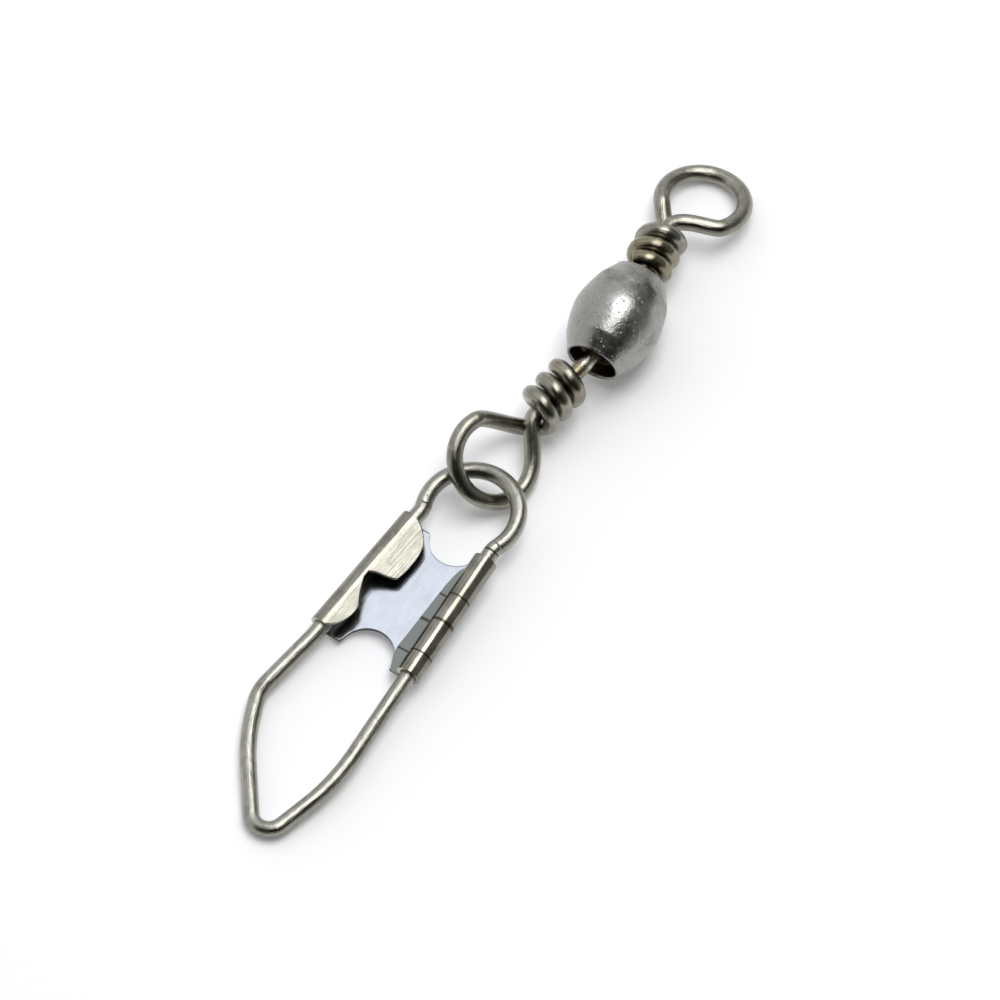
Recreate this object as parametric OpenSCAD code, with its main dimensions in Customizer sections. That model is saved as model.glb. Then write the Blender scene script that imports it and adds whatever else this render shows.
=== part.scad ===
// Fishing snap swivel: a hollow barrel, two wrapped wire eyes, a bent wire snap and its folded sheet clasp.
// Everything lies on a flat surface as it came to rest. +Z is up and +X runs from the snap to the line eye.
// Each piece is drawn in its own frame and then laid down: forward, left and up for an eye.

/* [Wire] */
// Diameter of the wire of both eyes and of the snap
wire_d = 1.2; // [1.1:0.05:1.25]
// How much thicker the straight shank is than the wire wrapped round it
shank_extra = 0.02; // [0.01:0.01:0.04]
// Gap between the wrapped turns and the shank inside them
wrap_gap = 0.06; // [0.04:0.01:0.1]

/* [Barrel] */
// Length of the barrel from mouth to mouth
barrel_len = 7.6; // [7.2:0.1:9]
// Diameter at the belly
belly_d = 6.54; // [6.2:0.05:7.4]
// Diameter at the ridge where the swaged cone starts
ridge_d = 5.5; // [5.3:0.05:5.8]
// Distance of the ridge from the middle
ridge_at = 2.45; // [2.3:0.05:2.6]
// Outside diameter of the open mouth
mouth_d = 4.1; // [3.9:0.05:4.4]
// Thickness of the lip round the mouth
lip_t = 0.24; // [0.18:0.02:0.3]
// Depth of the open cup behind the mouth
cup_depth = 1.25; // [1.1:0.05:1.3]
// Thickness of the web that holds each head back
web_t = 0.5; // [0.4:0.05:0.6]
// Diameter of the hole that a shank turns in
throat_d = 1.7; // [1.6:0.05:1.9]
// Diameter of the hollow between the webs
hollow_d = 4.9; // [4.7:0.05:5]
// Diameter of the head upset on each shank
head_d = 2.3; // [2.2:0.05:2.5]

/* [Line eye] */
// Inside diameter of the line eye
line_eye_inside_d = 4.92; // [4.6:0.05:5.3]
// How far the eye stands to the right of its shank
line_eye_offset = 1.82; // [1.6:0.05:2]
// Distance from the neck to the middle of the eye
line_eye_out = 2.57; // [2.4:0.05:2.8]
// Bare shank between the barrel and the last turn
line_bare_shank = 0.4; // [0.4:0.05:0.8]
// Distance from turn to turn
line_pitch = 1.25; // [1.25:0.01:1.4]
// Downward bend of the eye from its shank, in degrees
line_eye_bend = 11.7; // [8:0.5:14]

/* [Snap eye] */
// Inside diameter of the eye that carries the snap
snap_eye_inside_d = 4.9; // [4.8:0.05:5.1]
// Distance from the neck to the middle of the eye
snap_eye_out = 4.14; // [4.05:0.03:4.3]
// Bare shank between the barrel and the last turn
snap_bare_shank = 0.78; // [0.6:0.02:1.3]
// Distance from turn to turn
snap_pitch = 1.38; // [1.32:0.02:1.46]
// Upward bend of the eye from its shank, in degrees
snap_eye_bend = 3.2; // [2:0.4:4.4]

/* [Snap wire] */
// Half the distance between the two legs at the middle of the clasp
leg_half = 3.4; // [3.3:0.05:3.6]
// Splay of each leg, in degrees
leg_splay = 3.3; // [2.8:0.1:3.8]
// Radius of the small loop, to the middle of the wire
small_loop_r = 3.4; // [3.35:0.05:3.6]
// Angle at which the small loop flares from the legs, in degrees
small_loop_flare = 25; // [20:1:28]
// Height of the small loop above the middle of the clasp
small_loop_top = 11.45; // [11.3:0.05:11.6]
// Where the right leg starts to bend in, below the middle of the clasp
right_bend_at = 14.5; // [13.5:0.1:15.5]
// Distance to the right of the corner that the tip of the large loop rounds off
tip_right = 2.3; // [2:0.1:2.6]
// Distance of that corner below the middle of the clasp
tip_down = 21.95; // [21:0.1:23]
// Distance to the left of the corner that the left leg's bend rounds off
knee_left = 4.5; // [4.3:0.1:4.8]
// Distance of that corner below the middle of the clasp
knee_down = 11.7; // [11:0.1:12.5]
// Radius of the tip of the large loop
tip_r = 1.3; // [1.1:0.05:1.5]
// Radius of the bend of the left leg
knee_r = 1.6; // [1.3:0.1:2]
// Radius of the slow bend of the right leg
bow_r = 16; // [12:0.5:18]

/* [Clasp] */
// Thickness of the clasp's sheet
sheet_t = 0.28; // [0.2:0.02:0.32]
// Gap between the wire and the sheet rolled round it
sheet_gap = 0.03; // [0.02:0.01:0.06]
// Top of the sheet above the middle of the clasp
clasp_top = 5.4; // [5.2:0.1:5.6]
// Bottom of the sheet below the middle of the clasp
clasp_bottom = 5.1; // [4.9:0.1:5.3]
// Radius of the hollow cut in the top edge
top_scallop_r = 2.4; // [2.2:0.1:2.5]
// Height of the deepest point of that hollow
top_scallop_at = 4.15; // [4:0.05:4.4]
// Radius of the hollow cut in the bottom edge
bottom_scallop_r = 1.9; // [1.7:0.05:2]
// Distance of its deepest point below the middle of the clasp
bottom_scallop_at = 2.8; // [2.6:0.05:3]
// Reach of the upper tab over the plate
upper_tab_reach = 2.45; // [2:0.05:2.7]
// Reach of the lower tab over the plate
lower_tab_reach = 1.28; // [1:0.05:1.5]
// Slope of both tabs towards the plate, in degrees
tab_drop = 20; // [14:1:24]
// Width of the flap that lies on the plate beside the closed tube
flap_w = 2.0; // [1.7:0.05:2.2]

/* [Lie on the surface] */
// Distance of the middle of the barrel from the origin
barrel_x = 15.65; // [10:0.01:20]
// Sideways place of the barrel
barrel_y = -1.8; // [-3:0.01:3]
// Direction in which the barrel points, in degrees
barrel_heading = 4.2; // [2:0.2:6]
// Rise of the barrel towards the line eye, in degrees
barrel_rise = 2; // [1:0.5:3]
// Direction of the line eye, in degrees
line_eye_heading = 11.2; // [9:0.2:13]
// Rise of the line eye
line_eye_rise = -7.6; // [-8:0.1:-6]
// Roll of the line eye about its shank
line_eye_roll = -3.8; // [-6:0.2:-2]
// Direction of the snap eye, in degrees
snap_eye_heading = 170; // [168:0.5:172]
// Rise of the snap eye
snap_eye_rise = -3.9; // [-5:0.1:-3]
// Roll of the snap eye about its shank
snap_eye_roll = -36.9; // [-39:0.5:-35]
// Direction of the snap, in degrees
snap_heading = -3.1; // [-5:0.1:-1]
// Rise of the snap towards its small loop
snap_rise = 3.3; // [3:0.05:3.5]
// Rise of the snap towards its right leg
snap_lean = 2.8; // [2:0.1:3.6]
// Distance from the middle of the snap eye back to the middle of the clasp
snap_back = 12.36; // [12.3:0.02:12.6]
// Sideways distance between the same two points
snap_aside = 0.35; // [0.3:0.05:0.5]
// Drop between the same two points
snap_drop = 0.88; // [0.8:0.02:0.9]

/* [Hidden] */

$fn = 64;
wire_sides = 18;
wire_r = wire_d / 2;
shank_d = wire_d + shank_extra;
coil_r = wire_d + wrap_gap;
half_barrel = barrel_len / 2;
web_outer = half_barrel - cup_depth;
web_inner = web_outer - web_t;
pivot = web_outer - web_t / 2;
head_back = 1.6;
head_rim = 0.15;
line_turns = 3.45;
snap_turns = 2.95;
line_ring_from = 75;
line_ring_to = 330;
snap_ring_from = 45;
snap_ring_to = 317;
line_lead = 0.9;
line_pull = 0.8;
snap_lead = 1.2;
snap_pull = 1.2;
line_cross = 0.6;
snap_cross = 0.75;
line_coil_from = -45;
snap_coil_from = -40;
snap_evenness = 0.4;
sheet_in = wire_r + sheet_gap;
sheet_out = sheet_in + sheet_t;
flap_from = 218;
flap_root = 0.55;
notch_top = 0.05;
notch_bottom = -0.55;
upper_end_y = 1.3;
lower_end_y = -1.8;
exit_run = 0.9;
exit_r = 6;
pinch_r = 1.5;
top_scallop_right = 0.15;
cup_foot_d = 3.3;
cup_round = 0.3;
belly_steps = 14;
lead_steps = 7;
ring_steps = 26;
tail_steps = 9;
coil_steps = 16;
edge_steps = 6;
joint_lap = 0.3;
edge_lap = 0.3;
bend_step = 9;
slow_bend_step = 2.5;
slow_bend_r = 10;
sector_steps = 4;
same_point = 0.01;

// Outlines of the tabs and the flap, as shares of their reach and of their height
upper_tab_shape = [[0, 1], [0.45, 0.91], [0.8, 0.73], [1, 0.43], [0.9, 0.15], [0.45, 0.065], [0, 0]];
lower_tab_shape = [[0, 1], [0.5, 0.75], [1, 0.47], [0.72, 0.21], [0.3, 0.055], [0, 0]];
flap_shape = [[0.8, 0.94], [0.96, 0.77], [1, 0.54], [1, 0.21], [0.9, 0.09], [0.6, 0.01]];
flap_shoulder = 0.5;
flap_foot = 0.15;

// Vector helpers: a unit vector, and a point of a piece's own frame turned by heading, rise and roll
function unit(v) = v / norm(v);
function rolled(v, a) = [v.x, v.y * cos(a) - v.z * sin(a), v.y * sin(a) + v.z * cos(a)];
function raised(v, a) = [v.x * cos(a) - v.z * sin(a), v.y, v.x * sin(a) + v.z * cos(a)];
function headed(v, a) = [v.x * cos(a) - v.y * sin(a), v.x * sin(a) + v.y * cos(a), v.z];
function aimed(v, heading, rise, roll) = headed(raised(rolled(v, roll), rise), heading);

module aim(heading, rise, roll) {
    rotate([0, 0, heading]) rotate([0, -rise, 0]) rotate([roll, 0, 0]) children();
}

// A wire swept along a path, with its section carried along without twist
function along(p) = let (n = len(p) - 1) [for (i = [0:n]) unit(p[min(i + 1, n)] - p[max(i - 1, 0)])];
function carried(t, s, i = 0) =
    i == len(t) ? [] : let (q = unit(s - (s * t[i]) * t[i])) concat([q], carried(t, q, i + 1));

module swept_wire(path) {
    t = along(path);
    s = carried(t, cross([0, 0, 1], t[0]));
    n = wire_sides;
    last = len(path) - 1;
    skin = [for (i = [0:last]) for (k = [0:n - 1])
        path[i] + wire_r * (cos(360 * k / n) * s[i] + sin(360 * k / n) * cross(t[i], s[i]))];
    walls = [for (i = [0:last - 1]) for (k = [0:n - 1])
        let (a = i * n + k, b = i * n + (k + 1) % n)
        each [[a, b + n, b], [a, a + n, b + n]]];
    ends = [[for (k = [0:n - 1]) k], [for (k = [n - 1:-1:0]) last * n + k]];
    polyhedron(skin, concat(walls, ends));
}

// The route of an eye: lead from the neck, ring, tail back to the neck, turns round the shank
function bezier(a, b, c, d, n) = [for (i = [0:n]) let (t = i / n)
    pow(1 - t, 3) * a + 3 * t * pow(1 - t, 2) * b + 3 * t * t * (1 - t) * c + pow(t, 3) * d];
function tilted(neck, left, out, bend) = [neck + out * cos(bend), left, -out * sin(bend)];
function ring_point(neck, r, left, out, bend, a) =
    tilted(neck, left + r * sin(a), out - r * cos(a), bend);
function coil_point(neck, side, drop, pitch, even, a) =
    [neck - drop - pitch * (a / 360 - even * sin(a) / (2 * PI)), coil_r * sin(a), side * coil_r * cos(a)];

function eye_route(neck, r, left, out, start, stop, bend, side, drop, pitch, even, from, turns, lead, pull) =
    let (
        first = ring_point(neck, r, left, out, bend, start),
        last = ring_point(neck, r, left, out, bend, stop),
        first_way = tilted(0, cos(start), sin(start), bend),
        last_way = tilted(0, cos(stop), sin(stop), bend),
        coil = coil_point(neck, side, drop, pitch, even, from),
        coil_way = unit(coil_point(neck, side, drop, pitch, even, from + 1) - coil),
        root = [neck, 0, 0],
        steps = ceil(turns * coil_steps)
    )
    concat(
        [root - [joint_lap, 0, 0]],
        bezier(root, root + [lead, 0, 0], first - lead * first_way, first, lead_steps),
        [for (i = [1:ring_steps])
            ring_point(neck, r, left, out, bend, start + (stop - start) * i / ring_steps)],
        [for (p = bezier(last, last + pull * last_way, coil - pull * coil_way, coil, tail_steps))
            if (p != last) p],
        [for (i = [1:steps]) coil_point(neck, side, drop, pitch, even, from + 360 * turns * i / steps)]
    );

// A shank with the head that the barrel's web holds, along +X from the middle of the web
module shank_and_head(neck) {
    rotate([0, 90, 0]) translate([0, 0, -head_back]) cylinder(d = shank_d, h = neck + head_back);
    intersection() {
        translate([-head_back, 0, 0]) sphere(d = head_d);
        translate([-head_back - head_rim, 0, 0]) rotate([0, 90, 0]) cylinder(d = 2 * head_d, h = head_d);
    }
}

// Distance from the middle of the web to the neck of each eye, and where the barrel lies
line_neck = half_barrel - pivot + line_bare_shank + wire_r + line_cross
    + line_pitch * (line_turns + line_coil_from / 360);
snap_neck = half_barrel - pivot + snap_bare_shank + wire_r + snap_cross
    + snap_pitch * (snap_turns + snap_coil_from / 360);
belly_bow = (belly_d - ridge_d) / (2 * pow(ridge_at, 2));
barrel_height = belly_d / 2 * cos(barrel_rise)
    + pow(sin(barrel_rise), 2) / (4 * belly_bow * cos(barrel_rise));
barrel_mid = [barrel_x, barrel_y, barrel_height];
line_pivot = barrel_mid + aimed([pivot, 0, 0], barrel_heading, barrel_rise, 0);
snap_pivot = barrel_mid - aimed([pivot, 0, 0], barrel_heading, barrel_rise, 0);

// The barrel: an outer profile with a ridge and a swaged cone, and an inner one with cup, web and hollow
function belly(y) = belly_d / 2 - belly_bow * pow(y, 2);

outer_half = concat(
    [for (i = [1:belly_steps]) let (y = ridge_at * i / belly_steps) [belly(y), y]],
    [[mouth_d / 2, half_barrel - lip_t / 2], [mouth_d / 2 - lip_t / 2, half_barrel]]
);
inner_half = [[mouth_d / 2 - lip_t, half_barrel - lip_t / 2],
    [cup_foot_d / 2, web_outer + cup_round], [cup_foot_d / 2 - cup_round, web_outer],
    [throat_d / 2, web_outer], [throat_d / 2, web_inner], [hollow_d / 2, web_inner]];
barrel_half = concat(outer_half, inner_half);
function mirrored(p) = [for (i = [len(p) - 1:-1:0]) [p[i].x, -p[i].y]];

module barrel() {
    color("silver")
    translate(barrel_mid) aim(barrel_heading, barrel_rise, 0) rotate([0, 90, 0])
    rotate_extrude(convexity = 6)
        polygon(concat([[belly_d / 2, 0]], barrel_half, mirrored(barrel_half)));
}

module line_eye() {
    color("gray")
    translate(line_pivot) aim(line_eye_heading, line_eye_rise, line_eye_roll) {
        shank_and_head(line_neck);
        swept_wire(eye_route(line_neck, (line_eye_inside_d + wire_d) / 2, -line_eye_offset, line_eye_out,
            line_ring_from, line_ring_to, line_eye_bend, 1, line_cross, line_pitch, 0, line_coil_from,
            line_turns, line_lead, line_pull));
    }
}

module snap_eye() {
    color("dimgray")
    translate(snap_pivot) aim(snap_eye_heading, snap_eye_rise, snap_eye_roll) {
        shank_and_head(snap_neck);
        swept_wire(eye_route(snap_neck, (snap_eye_inside_d + wire_d) / 2, 0, snap_eye_out,
            snap_ring_from, snap_ring_to, -snap_eye_bend, -1, snap_cross, snap_pitch, snap_evenness,
            snap_coil_from, snap_turns, snap_lead, snap_pull));
    }
}

// The snap's own frame: X to the right, Y towards the small loop, the wire's middle at Z 0
snap_ring_mid = snap_pivot
    + aimed(tilted(snap_neck, 0, snap_eye_out, -snap_eye_bend), snap_eye_heading, snap_eye_rise, snap_eye_roll);

module lay_snap() {
    translate(snap_ring_mid - [snap_back, snap_aside, snap_drop])
        rotate([0, 0, snap_heading - 90]) rotate([snap_rise, 0, 0]) rotate([0, -snap_lean, 0]) children();
}

// The route of a bent wire: straight runs between rounded corners
function corner_turn(p, i) = let (a = unit(p[i] - p[i - 1]), b = unit(p[i + 1] - p[i]))
    atan2(a.x * b.y - a.y * b.x, a * b);
function corner_cut(p, r, i) =
    i == 0 || i == len(p) - 1 ? 0 : r[i] * tan(abs(corner_turn(p, i)) / 2);

function bent_corner(p, r, i) =
    let (
        turn = corner_turn(p, i),
        way = unit(p[i] - p[i - 1]),
        cut = p[i] - way * corner_cut(p, r, i),
        middle = cut + sign(turn) * r[i] * [-way.y, way.x],
        arm = cut - middle,
        steps = ceil(abs(turn) / (r[i] > slow_bend_r ? slow_bend_step : bend_step))
    )
    [for (k = [0:steps]) let (a = turn * k / steps)
        middle + [arm.x * cos(a) - arm.y * sin(a), arm.x * sin(a) + arm.y * cos(a)]];
function bent_route(p, r) = concat([p[0]], [for (i = [1:len(p) - 2]) each bent_corner(p, r, i)], [p[len(p) - 1]]);

// Corners of the snap, from the end under the upper tab round to the end under the lower tab
function leg_x(y) = leg_half - tan(leg_splay) * y;
exit_y = -clasp_bottom - exit_run;
loop_mid_y = small_loop_top - small_loop_r;
flare_from = [small_loop_r * cos(small_loop_flare), loop_mid_y - small_loop_r * sin(small_loop_flare)];
loop_corner_x = small_loop_r * tan((90 + small_loop_flare) / 2);
pinch_y = (flare_from.x - tan(small_loop_flare) * flare_from.y - leg_half)
    / (-tan(leg_splay) - tan(small_loop_flare));

module snap_wire() {
    corners = [[-leg_x(upper_end_y), upper_end_y], [-leg_x(pinch_y), pinch_y],
        [-loop_corner_x, small_loop_top], [loop_corner_x, small_loop_top],
        [leg_x(pinch_y), pinch_y], [leg_x(-right_bend_at), -right_bend_at],
        [tip_right, -tip_down], [-knee_left, -knee_down], [-leg_x(exit_y), exit_y],
        [-leg_x(lower_end_y), lower_end_y]];
    radii = [0, pinch_r, small_loop_r, small_loop_r, pinch_r, bow_r, tip_r, knee_r, exit_r, 0];
    route = bent_route(corners, radii);
    color("darkgray") lay_snap()
        swept_wire([for (i = [0:len(route) - 1]) if (i == 0 || norm(route[i] - route[i - 1]) > same_point)
            [route[i].x, route[i].y, 0]]);
}

// The clasp: a plate with a hollow in each edge, an open fold with two tabs and a closed roll with a flap
module plate() {
    low_half = leg_x(-clasp_bottom) - edge_lap;
    top_half = leg_x(clasp_top) - edge_lap;
    translate([0, 0, -sheet_out]) linear_extrude(sheet_t) difference() {
        polygon([[-low_half, -clasp_bottom], [low_half, -clasp_bottom],
                 [top_half, clasp_top], [-top_half, clasp_top]]);
        translate([top_scallop_right, top_scallop_at + top_scallop_r]) circle(r = top_scallop_r);
        translate([0, -bottom_scallop_at - bottom_scallop_r]) circle(r = bottom_scallop_r);
    }
}

// A roll of sheet round a leg, left open between two angles seen along the leg, with a strip of the plate
module roll(open_from, open_to, inwards) {
    far = 3 * sheet_out;
    translate([0, clasp_top, 0]) rotate([90, 0, 0]) linear_extrude(clasp_top + clasp_bottom) {
        difference() {
            circle(r = sheet_out);
            circle(r = sheet_in);
            polygon(concat([[0, 0]],
                [for (i = [0:sector_steps]) let (a = open_from + (open_to - open_from) * i / sector_steps)
                    far * [cos(a), sin(a)]]));
        }
        translate([inwards > 0 ? 0 : -2 * edge_lap, -sheet_out]) square([2 * edge_lap, sheet_t]);
    }
}

// A smooth outline through a few points
function between(a, b, c, d, t) =
    0.5 * (2 * b + (c - a) * t + (2 * a - 5 * b + 4 * c - d) * t * t + (3 * b - a - 3 * c + d) * t * t * t);
function smooth(p) = concat([for (i = [0:len(p) - 2]) for (k = [0:edge_steps - 1])
    between(p[max(i - 1, 0)], p[i], p[i + 1], p[min(i + 2, len(p) - 1)], k / edge_steps)], [p[len(p) - 1]]);

module tab(outline) {
    rotate([0, tab_drop, 0]) translate([0, 0, sheet_in]) linear_extrude(sheet_t) polygon(smooth(outline));
}

// An outline's shares laid between a reach and two heights
function laid(shape, reach, low, high) = [for (p = shape) [p.x * reach, low + p.y * (high - low)]];

module open_fold() {
    roll(-90, 90 - tab_drop, 1);
    tab(laid(upper_tab_shape, upper_tab_reach, notch_top, clasp_top));
    tab(laid(lower_tab_shape, lower_tab_reach, -clasp_bottom, notch_bottom));
}

module closed_roll() {
    roll(flap_from, 270, -1);
    translate([0, 0, -sheet_in]) linear_extrude(sheet_t) polygon(smooth(concat(
        [[-flap_root, clasp_top - flap_shoulder]],
        laid(flap_shape, -flap_w, flap_foot - clasp_bottom, clasp_top - flap_shoulder),
        [[-flap_root, flap_foot - clasp_bottom]])));
}

module clasp() {
    color("lightgray") lay_snap() {
        plate();
        translate([-leg_half, 0, 0]) rotate([0, 0, -leg_splay]) open_fold();
        translate([leg_half, 0, 0]) rotate([0, 0, leg_splay]) closed_roll();
    }
}

barrel();
line_eye();
snap_eye();
snap_wire();
clasp();
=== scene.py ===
"""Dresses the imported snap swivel: smooth wires, a lathed barrel, a folded sheet clasp, and blackened finishes."""

from __future__ import annotations

import logging
import math
from dataclasses import dataclass, field
from enum import Enum
from typing import Callable, Sequence

import bpy
from mathutils import Matrix, Vector, noise

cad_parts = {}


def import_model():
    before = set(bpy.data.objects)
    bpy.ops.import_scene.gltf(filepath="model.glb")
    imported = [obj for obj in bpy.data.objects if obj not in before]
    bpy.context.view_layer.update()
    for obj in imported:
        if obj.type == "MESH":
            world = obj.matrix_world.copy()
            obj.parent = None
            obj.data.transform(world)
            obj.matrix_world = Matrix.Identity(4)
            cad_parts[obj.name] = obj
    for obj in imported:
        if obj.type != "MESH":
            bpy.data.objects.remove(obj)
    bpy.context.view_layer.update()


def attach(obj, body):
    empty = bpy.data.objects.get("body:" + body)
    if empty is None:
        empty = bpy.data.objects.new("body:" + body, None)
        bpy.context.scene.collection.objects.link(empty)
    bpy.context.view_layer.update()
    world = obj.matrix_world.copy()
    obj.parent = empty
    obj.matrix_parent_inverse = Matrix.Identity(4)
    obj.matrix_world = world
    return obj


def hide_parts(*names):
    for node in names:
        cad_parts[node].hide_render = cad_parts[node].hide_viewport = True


MM = 0.001
LOG = logging.getLogger("snap_swivel")

Colour = tuple[float, float, float]
Outline = tuple[tuple[float, float], ...]
Socket = bpy.types.NodeSocket
Tree = bpy.types.NodeTree


# ---- Wire and sheet geometry, in millimetres until a mesh is made


def aim(heading: float, rise: float, roll: float) -> Matrix:
    """Turns a piece's own frame to its heading, rise and roll.

    Args:
        heading: Turn about the vertical, in degrees.
        rise: Lift of the forward axis, in degrees.
        roll: Turn about the forward axis, in degrees.

    Returns:
        The 3 by 3 rotation.
    """
    return (
        Matrix.Rotation(math.radians(heading), 3, "Z")
        @ Matrix.Rotation(math.radians(-rise), 3, "Y")
        @ Matrix.Rotation(math.radians(roll), 3, "X")
    )


def bezier(a: Vector, b: Vector, c: Vector, d: Vector, steps: int) -> list[Vector]:
    """Samples a cubic curve.

    Args:
        a: Start.
        b: First handle.
        c: Second handle.
        d: End.
        steps: Number of spans.

    Returns:
        The points from a to d.
    """
    made = []
    for i in range(steps + 1):
        t = i / steps
        u = 1 - t
        made.append(u**3 * a + 3 * t * u * u * b + 3 * t * t * u * c + t**3 * d)
    return made


def catmull(points: Sequence[tuple[float, float]], steps: int) -> list[tuple[float, float]]:
    """Runs a smooth outline through a few points.

    Args:
        points: The points of the outline.
        steps: Spans between two points.

    Returns:
        The smooth outline.
    """
    made = []
    last = len(points) - 1
    for i in range(last):
        a, b, c, d = (points[max(0, min(last, k))] for k in (i - 1, i, i + 1, i + 2))
        for k in range(steps):
            t = k / steps
            made.append(
                tuple(
                    0.5 * (2 * q + (r - p) * t + (2 * p - 5 * q + 4 * r - s) * t * t + (3 * q - p - 3 * r + s) * t**3)
                    for p, q, r, s in zip(a, b, c, d)
                )
            )
    made.append(tuple(points[last]))
    return made


def evened(points: list[Vector], step: float) -> list[Vector]:
    """Spaces a route's points evenly along it.

    Args:
        points: The route.
        step: Distance between points, in millimetres.

    Returns:
        The new route, with both ends kept.
    """
    lengths = [0.0]
    for p, q in zip(points, points[1:]):
        lengths.append(lengths[-1] + (q - p).length)
    count = max(2, round(lengths[-1] / step))
    made, k = [], 0
    for i in range(count + 1):
        want = lengths[-1] * i / count
        while k < len(points) - 2 and lengths[k + 1] < want:
            k += 1
        span = lengths[k + 1] - lengths[k]
        made.append(points[k].lerp(points[k + 1], (want - lengths[k]) / span if span else 0))
    return made


@dataclass
class Skin:
    """A mesh under construction, with the coordinates that its finish follows."""

    points: list[Vector] = field(default_factory=list)
    grain: list[Vector] = field(default_factory=list)
    tone: list[float] = field(default_factory=list)
    faces: list[tuple[int, ...]] = field(default_factory=list)

    def add_tube(
        self,
        route: list[Vector],
        radius: Callable[[float, float], float],
        sides: int = 28,
        tone: Callable[[float], float] = lambda s: 0.0,
        caps: tuple[float, float] = (0.25, 0.25),
    ) -> None:
        """Sweeps a round section along a route and closes both ends with a rounded edge.

        Args:
            route: Middle line of the wire.
            radius: Radius from the length along the wire and the angle round it.
            sides: Points round the section.
            tone: Tone from the length along the wire.
            caps: Rounding of the first and the last end, in millimetres.
        """
        total = sum((q - p).length for p, q in zip(route, route[1:]))
        way = [(route[min(i + 1, len(route) - 1)] - route[max(i - 1, 0)]).normalized() for i in range(len(route))]
        side = Vector((0, 0, 1)).cross(way[0])
        side = side.normalized() if side.length > 1e-3 else Vector((0, 1, 0))
        stations: list[tuple[Vector, Vector, Vector, float, float]] = []
        s = 0.0
        for i, p in enumerate(route):
            s += (p - route[i - 1]).length if i else 0.0
            side = (side - side.dot(way[i]) * way[i]).normalized()
            stations.append((p, way[i], side.copy(), s, 0.0))
        turns = [math.radians(a) for a in (90, 60, 30)]
        (p, w, *rest), cap = stations[0][:4], caps[0]
        front = [(p - w * cap * math.sin(a), w, *rest, cap * (1 - math.cos(a))) for a in turns]
        (p, w, *rest), cap = stations[-1][:4], caps[1]
        back = [(p + w * cap * math.sin(a), w, *rest, cap * (1 - math.cos(a))) for a in reversed(turns)]
        first = len(self.points)
        rings = front + stations + back
        for p, w, q, s, inset in rings:
            r = w.cross(q)
            for k in range(sides):
                a = 2 * math.pi * k / sides
                reach = radius(s, a) - inset
                self.points.append(p + reach * (math.cos(a) * q + math.sin(a) * r))
                self.grain.append(Vector((math.cos(a), math.sin(a), s)))
                self.tone.append(tone(s / total))
        for i in range(len(rings) - 1):
            for k in range(sides):
                a, b = first + i * sides + k, first + i * sides + (k + 1) % sides
                self.faces.append((a, b, b + sides, a + sides))
        self.faces.append(tuple(first + k for k in reversed(range(sides))))
        self.faces.append(tuple(first + (len(rings) - 1) * sides + k for k in range(sides)))

    def add_lathe(
        self,
        profile: Sequence[tuple[float, float]],
        place: Callable[[Vector], Vector],
        sides: int,
        wobble: Callable[[Vector], float] = lambda p: 0.0,
        closed: bool = False,
    ) -> None:
        """Turns a profile about the forward axis.

        Args:
            profile: Distances along the axis and radii.
            place: Takes a point of the piece's own frame to the object's frame.
            sides: Points round the axis.
            wobble: Change of radius at a point.
            closed: True where the profile is a closed ring.
        """
        first = len(self.points)
        for x, r in profile:
            for k in range(sides):
                a = 2 * math.pi * k / sides
                p = Vector((x, r * math.cos(a), r * math.sin(a)))
                if r > 1e-2:
                    grow = wobble(p) / r
                    p = Vector((x, p.y * (1 + grow), p.z * (1 + grow)))
                self.points.append(place(p))
                self.grain.append(p)
                self.tone.append(0.0)
        rows = len(profile)
        for i in range(rows if closed else rows - 1):
            for k in range(sides):
                a, b = first + i * sides + k, first + i * sides + (k + 1) % sides
                j = first + ((i + 1) % rows) * sides
                self.faces.append((a, j + k, j + (k + 1) % sides, b))

    def build(self, name: str) -> bpy.types.Object:
        """Makes the object, in metres, with its grain and tone stored on the points.

        Args:
            name: Name of the object and its mesh.

        Returns:
            The object, linked to the scene.
        """
        mesh = bpy.data.meshes.new(name)
        mesh.from_pydata([tuple(p * MM) for p in self.points], [], self.faces)
        mesh.validate()
        grain = mesh.attributes.new("grain", "FLOAT_VECTOR", "POINT")
        grain.data.foreach_set("vector", [c for g in self.grain for c in g])
        tone = mesh.attributes.new("tone", "FLOAT", "POINT")
        tone.data.foreach_set("value", self.tone)
        mesh.shade_smooth()
        made = bpy.data.objects.new(name, mesh)
        bpy.context.scene.collection.objects.link(made)
        return made


def settle(piece: bpy.types.Object) -> None:
    """Bakes a piece's modifiers into its mesh.

    Args:
        piece: The piece, whose modifiers are then removed.
    """
    shown = piece.evaluated_get(bpy.context.evaluated_depsgraph_get())
    mesh = bpy.data.meshes.new_from_object(shown)
    old = piece.data
    piece.modifiers.clear()
    piece.data = mesh
    mesh.name = old.name + "_settled"
    bpy.data.meshes.remove(old)


# ---- Finishes


def feed(tree: Tree, socket: Socket, value: Socket | float | Colour) -> None:
    """Links a socket to an input, or sets the input to a plain number or colour.

    Args:
        tree: The node tree.
        socket: The input.
        value: What it gets.
    """
    if isinstance(value, Socket):
        tree.links.new(value, socket)
    else:
        socket.default_value = (*value, 1) if isinstance(value, tuple) else value


def reckon(tree: Tree, operation: str, *values: Socket | float) -> Socket:
    """Adds a math node.

    Args:
        tree: The node tree.
        operation: What the node does.
        *values: Its inputs.

    Returns:
        Its result.
    """
    node = tree.nodes.new("ShaderNodeMath")
    node.operation = operation
    for socket, value in zip(node.inputs, values):
        feed(tree, socket, value)
    return node.outputs[0]


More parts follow.
